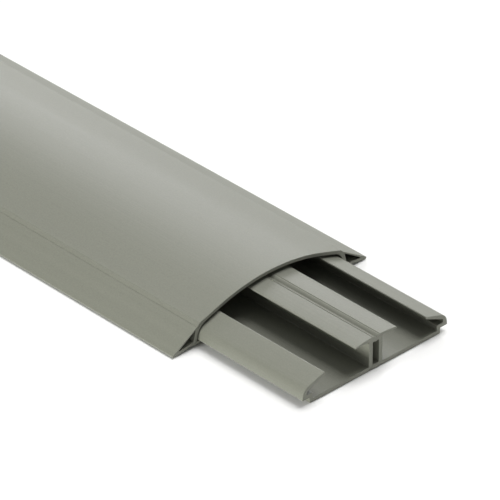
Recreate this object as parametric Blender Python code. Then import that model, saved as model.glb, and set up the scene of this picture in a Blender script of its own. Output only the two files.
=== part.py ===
"""Floor cord cover: a two-compartment base tray and the arched cover that clips over it.

Both pieces are extrusions in rigid PVC, so each one is a cross-section swept along X.
Frame: X runs along the stock with the open end at +X, Y runs across it, Z is up.
The origin is in the middle of the tray's underside, which lies on the floor.
All sections are drawn in millimetres as (y, z) and are the same on both sides of y = 0.
"""
import math

import bmesh
import bpy

MM = 0.001

# Lengths along the stock
STOCK_LENGTH = 2000.0
COVER_SETBACK = 51.0

# Sheet thicknesses
SKIN = 1.3
FLOOR = 1.5

# Radii of the die's edges and inside corners
CRISP = 0.2
SOFT = 0.3
ROUND = 0.4

# Cover, outside: crown, straight flank, raised shoulder strip, ramp and toe
COVER_HEIGHT = 15.8
CROWN_RADIUS = 78.0
FLANK_SLOPE = math.radians(18.3)
CREST_Y = 33.55
RAMP_TOP_Y = 34.6
RAMP_TOP_Z = 7.784
RAMP_SLOPE = math.radians(31.5)
TOE_RADIUS = 0.5
SCORE_WIDTH = 0.35
SCORE_DEPTH = 0.15

# Cover, sole of each ramp, the leg behind it and the hook on the leg
TOE_STRIP_Y = 45.0
SOLE_END_Y = 38.0
SOLE_RISE = 1.1
LEG_FOOT_Y = 36.2
LEG_FOOT_Z = 0.85
HOOK_TIP_Y = 33.15
HOOK_TOP_Z = 2.0
LEG_INNER_Y = 34.8
LEG_TOP_Y = 34.15
LEG_BEND_RADIUS = 6.0
RAMP_HOLLOW = ((36.35, 2.3), (43.0, 1.5), (43.0, 1.92), (35.3, 6.8))

# Tray, side walls
TRAY_FOOT_Y = 30.9
TRAY_STEP_Z = 2.2
TRAY_SIDE_Y = 34.35
SIDE_LEAN = 0.12
SIDE_BEND_RADIUS = 4.0
LEDGE_Z = 3.7
LEDGE_Y = 29.4
POCKET_Y = 32.3

# Tray, inturned flanges along the side walls
FLANGE_TIP_Y = 23.7
FLANGE_TIP_Z = 9.75
FLANGE_SLOPE = 0.35
FLANGE_UNDER_SLOPE = 0.44
FLANGE_TIP_DROP = 1.1
FLANGE_TIP_SLANT = 0.35

# Tray, divider
DIVIDER_HALF_BORE = 1.45
DIVIDER_WALL_Y = 3.15
DIVIDER_BORE_Z = (1.75, 10.9)
BORE_ROOF_Y = 0.6
BORE_ROOF_DROP = 0.35
DIVIDER_FLANGE_Y = 9.7
DIVIDER_UNDER_Z = 11.75
DIVIDER_TOP_Z = 13.1
DIVIDER_TOP_RADIUS = 60.0
DIVIDER_CROWN_Y = 9.0
GROOVE_HALF_WIDTH = 1.42
GROOVE_DEPTH = 0.75
LIP_WIDTH = 0.45
LIP_DEPTH = 0.22
NOTCH_Y = 2.2
NOTCH_HALF_WIDTH = 0.45
NOTCH_DEPTH = 0.45
NOTCH_RADIUS = 0.15

# How finely the arcs are cut into flats
CROWN_STEPS = 36
DIVIDER_CROWN_STEPS = 7
ARC_STEP = math.radians(12)
CREASE_ANGLE = math.radians(25)

PVC_COLOUR = (0.270, 0.275, 0.228, 1.0)
PVC_ROUGHNESS = 0.55


def clear_scene():
    for obj in list(bpy.data.objects):
        bpy.data.objects.remove(obj, do_unlink=True)


def pvc_material(name):
    material = bpy.data.materials.new(name)
    material.use_nodes = True
    shader = material.node_tree.nodes["Principled BSDF"]
    shader.inputs["Base Color"].default_value = PVC_COLOUR
    shader.inputs["Roughness"].default_value = PVC_ROUGHNESS
    shader.inputs["Metallic"].default_value = 0.0
    return material


def circle_z(y, radius, top):
    """Height at y of a circle of this radius whose highest point is (0, top)."""
    return top - radius + math.sqrt(radius * radius - y * y)


def crown(radius, top, y_from, y_to, steps):
    """Points with no fillet along an arched surface."""
    points = []
    for i in range(steps + 1):
        y = y_from + (y_to - y_from) * i / steps
        points.append((y, circle_z(y, radius, top), 0.0))
    return points


def fillet(before, corner, after, radius):
    """Arc that rounds the corner, as (y, z) points."""
    to_before = (before[0] - corner[0], before[1] - corner[1])
    to_after = (after[0] - corner[0], after[1] - corner[1])
    start = math.atan2(to_before[1], to_before[0])
    turn = math.atan2(to_after[1], to_after[0]) - start
    turn = (turn + math.pi) % (2 * math.pi) - math.pi
    half = abs(turn) / 2
    reach = radius / math.sin(half)
    middle = start + turn / 2
    centre = (corner[0] + reach * math.cos(middle), corner[1] + reach * math.sin(middle))
    sweep = math.pi - abs(turn)
    steps = max(2, round(sweep / ARC_STEP))
    facing = middle + math.pi
    side = math.copysign(1.0, turn)
    points = []
    for i in range(steps + 1):
        angle = facing + side * sweep * (0.5 - i / steps)
        points.append((centre[0] + radius * math.cos(angle), centre[1] + radius * math.sin(angle)))
    return points


def rounded(corners, closed=False):
    """Turn (y, z, radius) corners into points, with an arc wherever the radius isn't 0."""
    points = []
    count = len(corners)
    for i, (y, z, radius) in enumerate(corners):
        at_end = not closed and i in (0, count - 1)
        if radius == 0.0 or at_end:
            points.append((y, z))
        else:
            points.extend(fillet(corners[i - 1], (y, z), corners[(i + 1) % count], radius))
    return points


def mirrored(half):
    """Close a half outline, which runs from y = 0 round to y = 0, across the middle."""
    return half + [(-y, z) for y, z in reversed(half[1:-1])]


def extrusion(name, outline, hollows, x_from, x_to):
    """One solid: the filled outline, less its hollows, swept from x_from to x_to."""
    bm = bmesh.new()
    edges = []
    for loop in [outline] + hollows:
        verts = [bm.verts.new((x_from * MM, y * MM, z * MM)) for y, z in loop]
        for i, vert in enumerate(verts):
            edges.append(bm.edges.new((vert, verts[(i + 1) % len(verts)])))
    bmesh.ops.triangle_fill(bm, edges=edges, use_dissolve=False, use_beauty=True)
    swept = bmesh.ops.extrude_face_region(bm, geom=bm.faces[:])
    moved = [item for item in swept["geom"] if isinstance(item, bmesh.types.BMVert)]
    bmesh.ops.translate(bm, verts=moved, vec=((x_to - x_from) * MM, 0, 0))
    bmesh.ops.recalc_face_normals(bm, faces=bm.faces)
    mesh = bpy.data.meshes.new(name)
    bm.to_mesh(mesh)
    bm.free()
    mesh.shade_smooth()
    mesh.set_sharp_from_angle(angle=CREASE_ANGLE)
    mesh.materials.append(pvc_material(name + "_pvc"))
    obj = bpy.data.objects.new(name, mesh)
    bpy.context.collection.objects.link(obj)
    return obj


def tray_side():
    """Right-hand side wall: foot, undercut, outer side, inturned flange, pocket and ledge."""
    bend_z = (FLANGE_TIP_Z - FLANGE_SLOPE * (TRAY_SIDE_Y + SIDE_LEAN * TRAY_STEP_Z - FLANGE_TIP_Y))
    bend_z /= 1 - FLANGE_SLOPE * SIDE_LEAN
    bend_y = TRAY_SIDE_Y - SIDE_LEAN * (bend_z - TRAY_STEP_Z)
    under_tip = (FLANGE_TIP_Y + FLANGE_TIP_SLANT, FLANGE_TIP_Z - FLANGE_TIP_DROP)
    pocket_top = under_tip[1] - FLANGE_UNDER_SLOPE * (POCKET_Y - under_tip[0])
    return [
        (TRAY_FOOT_Y, 0.0, CRISP),
        (TRAY_FOOT_Y, TRAY_STEP_Z, CRISP),
        (TRAY_SIDE_Y, TRAY_STEP_Z, ROUND),
        (bend_y, bend_z, SIDE_BEND_RADIUS),
        (FLANGE_TIP_Y, FLANGE_TIP_Z, ROUND),
        (under_tip[0], under_tip[1], SOFT),
        (POCKET_Y, pocket_top, ROUND),
        (POCKET_Y, LEDGE_Z, ROUND),
        (LEDGE_Y, LEDGE_Z, CRISP),
        (LEDGE_Y, FLOOR, SOFT),
    ]


def divider_top():
    """Right half of the divider: wall, flange and the crowned top with its middle groove."""
    flange_end_z = circle_z(DIVIDER_FLANGE_Y, DIVIDER_TOP_RADIUS, DIVIDER_TOP_Z)
    lip_y = GROOVE_HALF_WIDTH + LIP_WIDTH
    lip_z = circle_z(GROOVE_HALF_WIDTH, DIVIDER_TOP_RADIUS, DIVIDER_TOP_Z)
    top = crown(DIVIDER_TOP_RADIUS, DIVIDER_TOP_Z, DIVIDER_CROWN_Y, lip_y, DIVIDER_CROWN_STEPS)
    return [
        (DIVIDER_WALL_Y, FLOOR, ROUND),
        (DIVIDER_WALL_Y, DIVIDER_UNDER_Z, SOFT),
        (DIVIDER_FLANGE_Y, DIVIDER_UNDER_Z, CRISP),
        (DIVIDER_FLANGE_Y, flange_end_z, SOFT),
    ] + top + [
        (GROOVE_HALF_WIDTH + LIP_WIDTH / 2, lip_z - LIP_DEPTH, 0.0),
        (GROOVE_HALF_WIDTH, lip_z - LIP_DEPTH / 4, 0.0),
        (0.0, DIVIDER_TOP_Z - GROOVE_DEPTH, 0.0),
    ]


def make_tray():
    notch = [
        (0.0, 0.0, 0.0),
        (NOTCH_Y - NOTCH_HALF_WIDTH, 0.0, 0.0),
        (NOTCH_Y - NOTCH_HALF_WIDTH / 2, NOTCH_DEPTH, NOTCH_RADIUS),
        (NOTCH_Y + NOTCH_HALF_WIDTH / 2, NOTCH_DEPTH, NOTCH_RADIUS),
        (NOTCH_Y + NOTCH_HALF_WIDTH, 0.0, 0.0),
    ]
    outline = mirrored(rounded(notch + tray_side() + divider_top()))
    low, high = DIVIDER_BORE_Z
    bore = mirrored(rounded([
        (0.0, low, 0.0),
        (DIVIDER_HALF_BORE, low, SOFT),
        (DIVIDER_HALF_BORE, high, SOFT),
        (BORE_ROOF_Y, high, CRISP),
        (0.0, high - BORE_ROOF_DROP, 0.0),
    ]))
    half = STOCK_LENGTH / 2
    return extrusion("base_tray", outline, [bore], -half, half)


def cover_flank(y, skin=0.0):
    """Height at y of the arch's straight flank, or of the face one skin below it."""
    radius = CROWN_RADIUS - skin
    start_y = radius * math.sin(FLANK_SLOPE)
    start_z = circle_z(start_y, radius, COVER_HEIGHT - skin)
    return start_z - math.tan(FLANK_SLOPE) * (y - start_y)


def cover_top(y):
    """Height of the cover's outer face at y, from the flank to the foot of the ramp."""
    if y < CREST_Y:
        return cover_flank(y)
    if y < RAMP_TOP_Y:
        share = (y - CREST_Y) / (RAMP_TOP_Y - CREST_Y)
        return cover_flank(CREST_Y) + share * (RAMP_TOP_Z - cover_flank(CREST_Y))
    return RAMP_TOP_Z - math.tan(RAMP_SLOPE) * (y - RAMP_TOP_Y)


def score_line(y):
    """Shallow V scored along the cover at y."""
    edge = SCORE_WIDTH / 2
    return [
        (y - edge, cover_top(y - edge), 0.0),
        (y, cover_top(y) - SCORE_DEPTH, 0.0),
        (y + edge, cover_top(y + edge), 0.0),
    ]


def make_cover():
    arch_end = CROWN_RADIUS * math.sin(FLANK_SLOPE)
    inner_radius = CROWN_RADIUS - SKIN
    inner_end = inner_radius * math.sin(FLANK_SLOPE)
    toe_corner_y = RAMP_TOP_Y + RAMP_TOP_Z / math.tan(RAMP_SLOPE)
    outside = crown(CROWN_RADIUS, COVER_HEIGHT, 0.0, arch_end, CROWN_STEPS)
    outside += score_line(CREST_Y) + score_line(RAMP_TOP_Y)
    under = [
        (toe_corner_y, 0.0, TOE_RADIUS),
        (TOE_STRIP_Y, 0.0, 0.0),
        (SOLE_END_Y, SOLE_RISE, ROUND),
        (LEG_FOOT_Y, LEG_FOOT_Z, ROUND),
        (HOOK_TIP_Y, LEG_FOOT_Z, CRISP),
        (HOOK_TIP_Y, HOOK_TOP_Z, CRISP),
        (LEG_INNER_Y, HOOK_TOP_Z, CRISP),
        (LEG_TOP_Y, cover_flank(LEG_TOP_Y, SKIN), LEG_BEND_RADIUS),
    ]
    inside = crown(inner_radius, COVER_HEIGHT - SKIN, inner_end, 0.0, CROWN_STEPS)
    outline = mirrored(rounded(outside + under + inside))
    hollow = rounded([(y, z, CRISP) for y, z in RAMP_HOLLOW], closed=True)
    other_hollow = [(-y, z) for y, z in hollow]
    near_end = STOCK_LENGTH / 2 - COVER_SETBACK
    return extrusion("cover", outline, [hollow, other_hollow], near_end - STOCK_LENGTH, near_end)


def main():
    clear_scene()
    make_tray()
    make_cover()


main()
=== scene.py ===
# %% [markdown]
# A floor cord cover keeps cables flat along a floor so that nobody trips on them. This one is two
# lengths of rigid PVC pushed hot through a die: a tray that is stuck or screwed to the floor, and an
# arched cover that clips over it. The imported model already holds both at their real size, so the
# script starts from it and works on the surface only.

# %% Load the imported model
import math

import bmesh
import bpy
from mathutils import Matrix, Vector


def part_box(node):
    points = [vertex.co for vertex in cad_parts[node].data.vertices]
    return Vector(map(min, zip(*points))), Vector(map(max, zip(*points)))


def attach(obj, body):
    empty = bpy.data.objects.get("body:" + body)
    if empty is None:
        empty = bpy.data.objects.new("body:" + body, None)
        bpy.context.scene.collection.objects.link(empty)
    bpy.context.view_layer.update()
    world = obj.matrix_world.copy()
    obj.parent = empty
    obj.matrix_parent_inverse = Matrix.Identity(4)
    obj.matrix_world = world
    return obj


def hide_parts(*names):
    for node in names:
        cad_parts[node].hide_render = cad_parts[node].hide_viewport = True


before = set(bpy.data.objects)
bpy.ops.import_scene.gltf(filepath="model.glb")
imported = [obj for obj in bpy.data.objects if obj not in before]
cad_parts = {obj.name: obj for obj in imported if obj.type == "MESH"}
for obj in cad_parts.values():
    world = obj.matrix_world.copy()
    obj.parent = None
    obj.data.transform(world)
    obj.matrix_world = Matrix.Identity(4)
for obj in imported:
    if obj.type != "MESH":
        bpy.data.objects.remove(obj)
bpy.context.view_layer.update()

MM = 0.001

# %% [markdown]
# The camera comes first, because every later choice is judged through it. It looks down on the sawn
# end from between the side and the end, and its long lens flattens the perspective as in a catalogue
# picture. A camera can be aimed with a constraint, but an angle round the object and an angle above
# the floor say the same thing in two numbers.

# %% Set the camera
CAMERA_TURN = math.radians(46.6)
CAMERA_RISE = math.radians(32.3)
CAMERA_PLACE = Vector((1.8864, -0.8965, 0.8435))
LENS_MM = 323.8
SENSOR_MM = 36.0
FARTHEST_SEEN = 100.0

towards_camera = Vector((
    math.sin(CAMERA_TURN) * math.cos(CAMERA_RISE),
    -math.cos(CAMERA_TURN) * math.cos(CAMERA_RISE),
    math.sin(CAMERA_RISE),
))
camera_data = bpy.data.cameras.new("camera")
camera_data.lens = LENS_MM
camera_data.sensor_width = SENSOR_MM
camera_data.clip_end = FARTHEST_SEEN
camera = bpy.data.objects.new("camera", camera_data)
camera.location = CAMERA_PLACE
camera.rotation_mode = "QUATERNION"
camera.rotation_quaternion = (-towards_camera).to_track_quat("-Z", "Y")
bpy.context.scene.collection.objects.link(camera)
bpy.context.scene.camera = camera
print("camera looks along", [round(part, 3) for part in -towards_camera])

# %% [markdown]
# Shader maths is easier to read as arithmetic than as a web of nodes. This small class wraps a
# node's output. Adding or multiplying two of them makes the Math node and links it, and one method
# makes every other kind of node. The reflected forms let a plain number stand on the left, as in
# 1 - mask.

# %% Wrap a node's output
def shown_socket(sockets, name):
    """The socket with this number or name. A Mix node has several of one name, and shows one."""
    if isinstance(name, int):
        return sockets[name]
    return next(socket for socket in sockets if socket.name == name and socket.enabled)


class Signal:
    """One output in a material's node tree, with Math nodes for Python's operators."""

    def __init__(self, tree, socket=None):
        self.tree = tree
        self.socket = socket

    def node(self, kind, settings=None, sockets=None, output=0):
        """Add a node: first its settings, then the values or links of its sockets."""
        made = self.tree.nodes.new(kind)
        for name, value in (settings or {}).items():
            setattr(made, name, value)
        for name, value in (sockets or {}).items():
            socket = shown_socket(made.inputs, name)
            if isinstance(value, Signal):
                self.tree.links.new(value.socket, socket)
            else:
                socket.default_value = value
        return Signal(self.tree, shown_socket(made.outputs, output))

    def maths(self, operation, first, second):
        return self.node("ShaderNodeMath", {"operation": operation}, {0: first, 1: second})

    def __add__(self, other):
        return self.maths("ADD", self, other)

    __radd__ = __add__

    def __sub__(self, other):
        return self.maths("SUBTRACT", self, other)

    def __rsub__(self, other):
        return self.maths("SUBTRACT", other, self)

    def __mul__(self, other):
        return self.maths("MULTIPLY", self, other)

    __rmul__ = __mul__

    def __abs__(self):
        return self.maths("ABSOLUTE", self, 0.0)

    def __gt__(self, other):
        return self.maths("GREATER_THAN", self, other)


# %% [markdown]
# The floor is a plain pale sheet, wide enough that no view reaches its edge. It lies a hair below
# the tray so that the two faces don't fight.

# %% Lay the floor
FLOOR_SIZE = 40.0
FLOOR_DROP = 0.2 * MM
FLOOR_COLOUR = (0.97, 0.97, 0.96, 1.0)
FLOOR_ROUGHNESS = 0.9

bpy.ops.object.select_all(action="DESELECT")
bpy.ops.mesh.primitive_plane_add(size=FLOOR_SIZE, location=(0.0, 0.0, -FLOOR_DROP))
floor = bpy.context.object
floor.name = "studio_floor"
floor_paint = bpy.data.materials.new("pale_floor")
floor_paint.use_nodes = True
floor_shader = floor_paint.node_tree.nodes["Principled BSDF"]
floor_shader.inputs["Base Color"].default_value = FLOOR_COLOUR
floor_shader.inputs["Roughness"].default_value = FLOOR_ROUGHNESS
floor_shader.inputs["Specular IOR Level"].default_value = 0.0
floor.data.materials.append(floor_paint)
print("floor:", floor.name, FLOOR_SIZE, "m square")

# %% [markdown]
# Matt plastic shows its form by how broad lights fall off round it. The main panel stands high behind
# the stock, so the divider and the flanges keep it off the compartment floors, and a weak one hangs
# overhead. Two stand beyond the far end and gleam along the arch. One stands low in front and lights
# the faces that look that way, and an even glow from all round lifts the shadows. The front panel is
# kept out of reflections, as a studio would do it with a flag, or it would glare along the arch when
# seen from the other side. Each panel is given by where it stands round the cut end, and stands far
# enough away to light the whole length softly.

# %% Hang the lights
LIGHT_AIM = Vector((0.6, 0.0, 0.0))
LIGHT_DISTANCE = 5.0
WORLD_STRENGTH = 0.255
WORLD_COLOUR = (1.0, 1.0, 1.0, 1.0)
SOFT_PANELS = {
    "panel_overhead": {"turn": 0, "rise": 90, "size": 3.0, "power": 19.0, "gleams": True},
    "panel_back": {"turn": 180, "rise": 65, "size": 3.0, "power": 190.0, "gleams": True},
    "panel_stock_low": {"turn": 225, "rise": 15, "size": 2.0, "power": 55.0, "gleams": True},
    "panel_stock_high": {"turn": 225, "rise": 25, "size": 1.5, "power": 55.0, "gleams": True},
    "panel_front": {"turn": 0, "rise": 7, "size": 1.0, "power": 277.0, "gleams": False},
}


def soft_panel(name, turn, rise, size, power, gleams):
    """Area light that stands at these angles round the cut end and faces it."""
    turn = math.radians(turn)
    rise = math.radians(rise)
    outwards = Vector((
        math.sin(turn) * math.cos(rise),
        -math.cos(turn) * math.cos(rise),
        math.sin(rise),
    ))
    data = bpy.data.lights.new(name, "AREA")
    data.size = size
    data.energy = power
    panel = bpy.data.objects.new(name, data)
    panel.location = LIGHT_AIM + LIGHT_DISTANCE * outwards
    panel.rotation_mode = "QUATERNION"
    panel.rotation_quaternion = outwards.to_track_quat("Z", "Y")
    panel.visible_glossy = gleams
    bpy.context.scene.collection.objects.link(panel)


for panel_name, place in SOFT_PANELS.items():
    soft_panel(panel_name, **place)
world = bpy.data.worlds.new("white_studio")
world.use_nodes = True
world_shader = world.node_tree.nodes["Background"]
world_shader.inputs["Color"].default_value = WORLD_COLOUR
world_shader.inputs["Strength"].default_value = WORLD_STRENGTH
bpy.context.scene.world = world
bpy.context.scene.view_settings.view_transform = "Standard"
print("lights:", ", ".join(SOFT_PANELS))

# %% [markdown]
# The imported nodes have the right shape, but they load as loose flat triangles, and an arch made of
# flats shows its facets in a raking light. Both sections could be drawn again with finer arcs, but a
# copy that is welded and smoothed can't drift away from the part. The normals stored with the
# triangles are cleared, because they no longer fit once the triangles are merged and the flats are
# joined. Smooth shading is limited by angle, so that the arch runs smoothly and real edges stay
# crisp. The saw leaves a burr, and scraping it off leaves a fine chamfer round each end: the end is
# pushed in, inset, and its middle comes back out to where it was.

# %% Finish an extruded length
WELD = 0.001 * MM
FLAT_ANGLE = math.radians(0.1)
END_ANGLE = math.radians(5)
SMOOTH_ANGLE = math.radians(28)
SCRAPED = 0.06 * MM


def choose_faces(piece, wanted):
    """In edit mode, select only the faces for which wanted(face) is true."""
    shape = bmesh.from_edit_mesh(piece.data)
    for face in shape.faces:
        face.select_set(wanted(face))
    bmesh.update_edit_mesh(piece.data)


def scrape_end(piece, end, outwards):
    """Chamfer the rim of the sawn end at x = end, which faces along x * outwards."""
    def at_end(face):
        return abs(face.calc_center_median().x - end) < SCRAPED

    choose_faces(piece, at_end)
    bpy.ops.mesh.dissolve_limited(angle_limit=END_ANGLE)
    choose_faces(piece, at_end)
    bpy.ops.transform.translate(value=(-outwards * SCRAPED, 0.0, 0.0))
    bpy.ops.mesh.inset(thickness=SCRAPED, depth=SCRAPED)


def finished_length(name, node):
    """Copy of a packed extrusion, welded, with scraped ends and smooth curves."""
    piece = bpy.data.objects.new(name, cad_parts[node].data.copy())
    bpy.context.scene.collection.objects.link(piece)
    piece.data.materials.clear()
    bpy.ops.object.select_all(action="DESELECT")
    piece.select_set(True)
    bpy.context.view_layer.objects.active = piece
    low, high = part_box(node)
    bpy.ops.object.mode_set(mode="EDIT")
    bpy.ops.mesh.select_mode(type="FACE")
    bpy.ops.mesh.select_all(action="SELECT")
    bpy.ops.mesh.customdata_custom_splitnormals_clear()
    bpy.ops.mesh.remove_doubles(threshold=WELD)
    bpy.ops.mesh.dissolve_limited(angle_limit=FLAT_ANGLE)
    scrape_end(piece, high.x, 1)
    scrape_end(piece, low.x, -1)
    bpy.ops.object.mode_set(mode="OBJECT")
    bpy.ops.object.shade_smooth_by_angle(angle=SMOOTH_ANGLE)
    print(name, len(piece.data.polygons), "faces")
    return piece


tray = finished_length("tray_length", "base_tray")
cover = finished_length("cover_length", "cover")

# %% [markdown]
# Extruded PVC looks even from afar and is full of small marks close to. The pigment is stirred into
# the melt, so the grey drifts a little along the length and has flecks of filler in it. Noise in the
# piece's own coordinates gives both at their real size, where an image would repeat and blur. Each
# pattern here swings about zero, so that it can be added without changing the average.

# %% Stir the pigment
DRIFT_PER_M = 9.0
DRIFT_TONE = 0.10
FLECKS_PER_M = 1900.0
FLECK_TONE = 0.30
NOISE_MEAN = 0.5
NOISE_DETAIL = 2.0


def noise(place, scale, detail=NOISE_DETAIL):
    """Noise that swings about zero, by up to half either way."""
    sockets = {"Vector": place, "Scale": scale, "Detail": detail}
    return place.node("ShaderNodeTexNoise", None, sockets) - NOISE_MEAN


def pigment(place):
    """Change in tone from slow drift and small flecks."""
    return DRIFT_TONE * noise(place, DRIFT_PER_M) + FLECK_TONE * noise(place, FLECKS_PER_M)


# %% [markdown]
# The lips of the die score the skin as it slides out, so every extrusion carries fine lines that run
# dead straight along it. They are a noise that is squeezed across the section and stretched along
# it. Modelled grooves a few thousandths of a millimetre deep would need millions of faces, and a
# bump shows them as well.

# %% Draw the die lines
DIE_LINES_PER_M = 1300.0
LINE_DRIFT_PER_M = 1.2
LINE_DETAIL = 3.0


def die_lines(place, seed):
    """Fine straight lines along the stock, different for each seed. The mapping sets their scale."""
    squeezed = place.node(
        "ShaderNodeMapping",
        None,
        {
            "Vector": place,
            "Location": (seed, seed, seed),
            "Scale": (LINE_DRIFT_PER_M, DIE_LINES_PER_M, DIE_LINES_PER_M),
        },
    )
    return noise(squeezed, 1.0, detail=LINE_DETAIL)


# %% [markdown]
# A sawn end is rougher than the drawn skin and scatters more light, so it looks drier and a shade
# paler. Its paler colour is also partly painted light, which lifts the end faces that the lamps
# hardly reach. The blade leaves arcs as wide as itself. Faces that look along the stock are the ends,
# so the surface normal picks them out, and the distance to the blade's centre gives the arcs.

# %% Saw the ends
BLADE_CENTRE = Vector((0.0, 0.06, -0.11))
ARCS_PER_M = 1500.0
END_FACES_ALONG = 0.9


def sawn(place):
    """Mask of the sawn end faces, and the arcs that the blade left on them."""
    surface = place.node("ShaderNodeNewGeometry", output="Normal")
    facing = place.node("ShaderNodeSeparateXYZ", None, {"Vector": surface})
    mask = abs(facing) > END_FACES_ALONG
    flat = place.node("ShaderNodeMapping", None, {"Vector": place, "Scale": (0.0, 1.0, 1.0)})
    spoke = place.node(
        "ShaderNodeVectorMath", {"operation": "DISTANCE"}, {0: flat, 1: BLADE_CENTRE}, output="Value"
    )
    arc_sockets = {"W": spoke, "Scale": ARCS_PER_M}
    arcs = place.node("ShaderNodeTexNoise", {"noise_dimensions": "1D"}, arc_sockets)
    return mask, arcs - NOISE_MEAN


# %% [markdown]
# Handling rubs the outward corners of a section first: they end up a touch smoother and paler than
# the faces between them. Their paler colour is also a painted highlight, a thin bright line along
# each edge. The corners are found by measuring, so that none is missed. Long edges where the surface
# turns outwards are gathered into one corner if they lie close together, as they do round a fillet,
# and it counts if their turns add up to enough. The mask then falls off with distance from those
# corners.

# %% Find the corners and paint their wear and highlight
CORNER_LINK = 0.15 * MM
LONG_EDGE = 1.0
LEAST_TURN = math.radians(50)
RUB_AND_HIGHLIGHT_WIDTH = 0.45 * MM
RUB_AND_HIGHLIGHT_PATCHES_PER_M = 60.0
RUB_AND_HIGHLIGHT_SHARE = 0.8


def outward_edges(piece):
    """((y, z), turn) of each long edge on the +Y half where the surface turns outwards."""
    shape = bmesh.new()
    shape.from_mesh(piece.data)
    found = []
    for line in shape.edges:
        spot = Vector(line.verts[0].co.yz)
        turn = line.calc_face_angle_signed(0.0)
        if line.calc_length() > LONG_EDGE and turn > 0 and spot.x > 0:
            found.append((spot, turn))
    shape.free()
    return found


def outward_corners(piece):
    """(y, z) of each outward corner on the +Y half of the section."""
    corners = []
    for spot, turn in outward_edges(piece):
        corner = [(spot, turn)]
        apart = []
        for other in corners:
            linked = any((spot - member[0]).length < CORNER_LINK for member in other)
            if linked:
                corner += other
            else:
                apart.append(other)
        corners = apart + [corner]
    sharp = [corner for corner in corners if sum(turn for spot, turn in corner) > LEAST_TURN]
    print(piece.name, len(sharp), "corners to rub")
    middles = []
    for corner in sharp:
        total = sum((spot for spot, turn in corner), Vector((0.0, 0.0)))
        middles.append(total / len(corner))
    return middles


def rubbed_and_highlit(place, corners):
    """Mask of wear and painted highlight: 1 on the corners, fading out beside them, in patches."""
    across = place.node("ShaderNodeSeparateXYZ", None, {"Vector": place}, output="Y")
    above = place.node("ShaderNodeSeparateXYZ", None, {"Vector": place}, output="Z")
    section = place.node("ShaderNodeCombineXYZ", None, {"X": abs(across), "Y": above})
    distance = {"operation": "DISTANCE"}
    mask = 0.0
    for corner in corners:
        ends = {0: section, 1: (*corner, 0.0)}
        away = place.node("ShaderNodeVectorMath", distance, ends, output="Value")
        mask = place.maths("MAXIMUM", mask, 1.0 - (1.0 / RUB_AND_HIGHLIGHT_WIDTH) * away)
    return mask * (RUB_AND_HIGHLIGHT_SHARE + noise(place, RUB_AND_HIGHLIGHT_PATCHES_PER_M))


# %% [markdown]
# All of this meets in one material. Its colour is the pigment's grey, paler on sawn and rubbed
# places; that paleness is partly painted light, a painted highlight on the corners and a painted lift
# on the end faces. Its roughness is that of a matt die-drawn skin. The relief is given in metres and
# goes through one bump: the die's lines, the fine grain of the skin and the saw's arcs.

# %% Mix the PVC
PVC_COLOUR = (0.172, 0.177, 0.142, 1.0)
# The pale colour goes on sawn ends and rubbed corners; it is partly real and partly painted light.
PALE_COLOUR = (0.300, 0.307, 0.260, 1.0)
# Sawn ends are paler partly from sawing and partly as painted light on end faces that the lamps
# hardly reach.
SAWN_PALER_WITH_PAINTED_LIGHT = 0.35
# Rubbed corners are paler partly from wear and partly as a painted highlight along the edges.
RUBBED_PALER_WITH_PAINTED_HIGHLIGHT = 0.45
LINE_TONE = 0.16
ARC_TONE = 0.60
PVC_ROUGHNESS = 0.56
PVC_SPECULAR = 0.62
ROUGHNESS_SWING = 0.16
SAWN_ROUGHER = 0.25
RUBBED_SMOOTHER = 0.10
GRAIN_PER_M = 5000.0
LINE_DEPTH = 0.030 * MM
GRAIN_DEPTH = 0.010 * MM
ARC_DEPTH = 0.060 * MM


def pvc(name, piece, seed):
    """As-extruded stone grey rigid PVC, with sawn ends and rubbed corners made paler partly by
    painted light.
    """
    material = bpy.data.materials.new(name)
    material.use_nodes = True
    tree = material.node_tree
    shader = tree.nodes["Principled BSDF"]
    shader.inputs["Specular IOR Level"].default_value = PVC_SPECULAR
    place = Signal(tree).node("ShaderNodeTexCoord", output="Object")
    lines = die_lines(place, seed)
    grain = noise(place, GRAIN_PER_M)
    ends, arcs = sawn(place)
    skin = 1.0 - ends
    rub_and_highlight = rubbed_and_highlit(place, outward_corners(piece))

    tone = 1.0 + pigment(place) + LINE_TONE * lines * skin + ARC_TONE * arcs * ends
    paint = place.node(
        "ShaderNodeMix",
        {"data_type": "RGBA", "blend_type": "MULTIPLY"},
        {"Factor": 1.0, "A": PVC_COLOUR, "B": tone},
        output="Result",
    )
    # Paler on sawn ends and rubbed corners: partly real, partly painted light and painted highlight.
    worn_and_painted_light = place.node(
        "ShaderNodeMix",
        {"data_type": "RGBA"},
        {"Factor": RUBBED_PALER_WITH_PAINTED_HIGHLIGHT * rub_and_highlight + SAWN_PALER_WITH_PAINTED_LIGHT * ends, "A": paint, "B": PALE_COLOUR},
        output="Result",
    )
    rough = PVC_ROUGHNESS + ROUGHNESS_SWING * (lines + grain)
    rough = rough + SAWN_ROUGHER * ends - RUBBED_SMOOTHER * rub_and_highlight
    height = LINE_DEPTH * lines * skin + GRAIN_DEPTH * grain + ARC_DEPTH * arcs * ends
    relief = place.node("ShaderNodeBump", None, {"Height": height, "Distance": 1.0})
    for signal, socket in ((worn_and_painted_light, "Base Color"), (rough, "Roughness"), (relief, "Normal")):
        tree.links.new(signal.socket, shader.inputs[socket])
    piece.data.materials.append(material)
    print(name, len(tree.nodes), "nodes")


# %% [markdown]
# The tray stays on the floor and the cover slides along it, so each piece rides on its own body and
# stands in for the node that it was copied from.

# %% Put the pieces on their bodies
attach(tray, "tray")
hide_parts("base_tray")
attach(cover, "cover")
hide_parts("cover")
pvc("stone_grey_tray", tray, seed=3.0)
pvc("stone_grey_cover", cover, seed=8.0)
